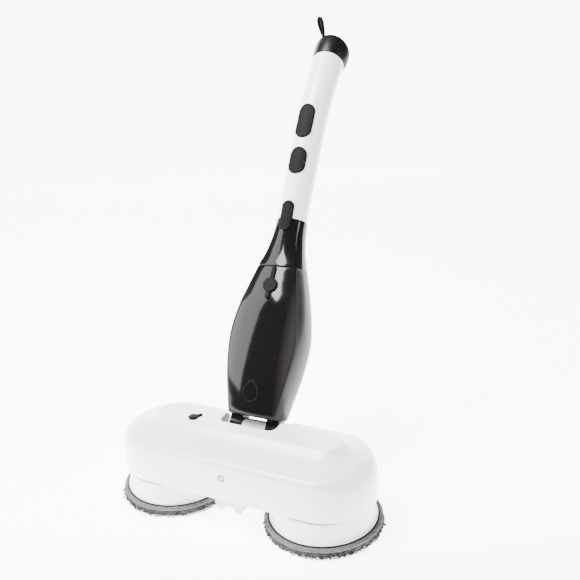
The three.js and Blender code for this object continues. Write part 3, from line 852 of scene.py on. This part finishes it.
LOOKS = {
    WHITE: ["hinge_block", *both("hinge_cheek")],
    BLACK: ["charge_socket", *both("knuckle")],
    RUBBER: ["tank_valve", "spray_hose"],
    GREY: ["base_plate", "board_bracket", "spray_pump", *both("gear", "motor_bracket")],
    HOOK: both("hook_disc"),
    STEEL: ["hinge_pin", *both("axle", "bearing", "motor", "pinion")],
    BOARD: ["control_board", "switch_board"],
    CELL: ["battery_pack"],
}
for look, names in LOOKS.items():
    for name in names:
        node = frame["nodes"][name]
        node.data.materials.clear()
        node.data.materials.append(look)
for name in ["hinge_block", "base_plate", *both("hinge_cheek", "knuckle")]:
    bevel = frame["nodes"][name].modifiers.new("edge", "BEVEL")
    bevel.width = 0.0006
    bevel.segments = 2
    bevel.angle_limit = math.radians(40)

# Stage, light and camera, in metres -----------------------------------------------------------------
# The paper glows fully beyond GLOW_FULL and not at all short of GLOW_FROM, measured backwards.
FLOOR_GLOW = 6.5
GLOW_FROM, GLOW_FULL = -0.6, -0.2
SKY = 0.3
FLOOR_FRONT, FLOOR_BACK, CURVE_R, WALL_TOP = -3.0, 2.2, 1.2, 2.4
FLOOR_HALF_WIDTH = 4.2
CURVE_STEPS = 16
CAMERA_HEADING = math.radians(26.85)


def sweep():
    """Pale floor that curves up into a back wall, turned to face the camera."""
    profile = [(FLOOR_FRONT, 0.0), (FLOOR_BACK, 0.0)]
    for i in range(1, CURVE_STEPS + 1):
        a = math.pi / 2 * i / CURVE_STEPS
        profile.append((FLOOR_BACK + CURVE_R * math.sin(a), CURVE_R - CURVE_R * math.cos(a)))
    profile.append((FLOOR_BACK + CURVE_R, WALL_TOP))
    turn = Matrix.Rotation(CAMERA_HEADING, 3, "Z")
    points = [turn @ Vector((side * FLOOR_HALF_WIDTH, y, z)) for y, z in profile for side in (-1, 1)]
    faces = [(2 * i, 2 * i + 1, 2 * i + 3, 2 * i + 2) for i in range(len(profile) - 1)]
    look = material("floor_paper", (0.93, 0.93, 0.935), 0.85, grain=30, bump=0.02, shade=0.01)
    nodes, links = look.node_tree.nodes, look.node_tree.links
    paper = nodes["Principled BSDF"]
    paper.inputs["Emission Color"].default_value = (1, 1, 1, 1)
    where = nodes.new("ShaderNodeTexCoord")
    depth = nodes.new("ShaderNodeVectorMath")
    depth.operation = "DOT_PRODUCT"
    depth.inputs[1].default_value = turn @ Vector((0, 1, 0))
    links.new(where.outputs["Object"], depth.inputs[0])
    glow = nodes.new("ShaderNodeMapRange")
    glow.inputs["From Min"].default_value = GLOW_FROM
    glow.inputs["From Max"].default_value = GLOW_FULL
    glow.inputs["To Max"].default_value = FLOOR_GLOW
    links.new(depth.outputs["Value"], glow.inputs["Value"])
    links.new(glow.outputs["Result"], paper.inputs["Emission Strength"])
    made = mesh_object("studio_floor", points, faces, look)
    shade_smooth(made)
    return made


floor = sweep()

world = bpy.data.worlds.new("studio")
bpy.context.scene.world = world
world.use_nodes = True
world.node_tree.nodes["Background"].inputs["Color"].default_value = (1, 1, 1, 1)
world.node_tree.nodes["Background"].inputs["Strength"].default_value = SKY


def softbox(name, place_at, aim, size, power):
    lamp = bpy.data.lights.new(name, "AREA")
    lamp.shape = "RECTANGLE"
    lamp.size, lamp.size_y = size
    lamp.energy = power
    made = bpy.data.objects.new(name, lamp)
    made.location = place_at
    made.rotation_euler = (Vector(aim) - Vector(place_at)).to_track_quat("-Z", "Y").to_euler()
    bpy.context.scene.collection.objects.link(made)


softbox("key_left", (-1.4, -0.92, 1.05), (0, 0, 0.3), (1.0, 1.7), 48)
softbox("top", (-0.5, -0.6, 2.0), (0, 0, 0.1), (1.0, 1.0), 150)
softbox("rim_right", (1.7, 0.1, 0.8), (0, 0, 0.35), (0.3, 1.4), 14)

# The camera as recovered from the picture: its place, and its axes in the frame.
CAMERA_PLACE = place(456.3, -745.4, 604.9)
RIGHT = Vector((0.8987, 0.436, -0.0486))
UP = Vector((-0.1024, 0.3163, 0.9431))
FORWARD = Vector((-0.4265, 0.8426, -0.3289))
LENS_MM, SENSOR_MM = 46.6, 36.0
eye = bpy.data.cameras.new("camera")
eye.sensor_width = SENSOR_MM
eye.lens = LENS_MM
eye.clip_start = 0.01
camera = bpy.data.objects.new("camera", eye)
bpy.context.scene.collection.objects.link(camera)
axes = Matrix((RIGHT, UP, -FORWARD)).transposed().normalized()
camera.matrix_world = Matrix.Translation(CAMERA_PLACE) @ axes.to_4x4()
bpy.context.scene.camera = camera
